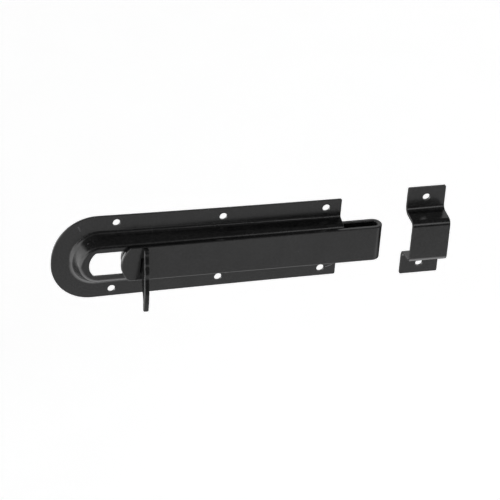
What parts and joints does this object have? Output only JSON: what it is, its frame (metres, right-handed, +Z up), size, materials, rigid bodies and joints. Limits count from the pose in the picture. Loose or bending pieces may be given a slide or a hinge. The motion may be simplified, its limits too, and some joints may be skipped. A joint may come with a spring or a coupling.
{
  "type": "sliding bolt",
  "caption": "Sliding door bolt of black painted sheet steel: round-nosed ridged plate, folded strip bolt with a claw handle, and a separate strap keeper.",
  "frame": {"origin": "midway between the middle pair of screw holes, on the plane of the plate's back, which is the door's face", "axes": "+X is the way the bolt is thrown, towards the keeper; -Y points out of the door at the user; +Z is up, away from the hanging claw of the handle"},
  "size_m": [0.2731, 0.0268, 0.0676],
  "materials": {
    "black_paint": "satin"
  },
  "bodies": {
    "mounting": {"base_plate": "black_paint", "keeper": "black_paint"},
    "slider": {"bolt": "black_paint", "handle": "black_paint"}
  },
  "joints": [
    {"name": "bolt_slide", "type": "slide", "parent": "mounting", "child": "slider", "axis": [1, 0, 0], "range_m": [-0.022, 0.05]}
  ]
}
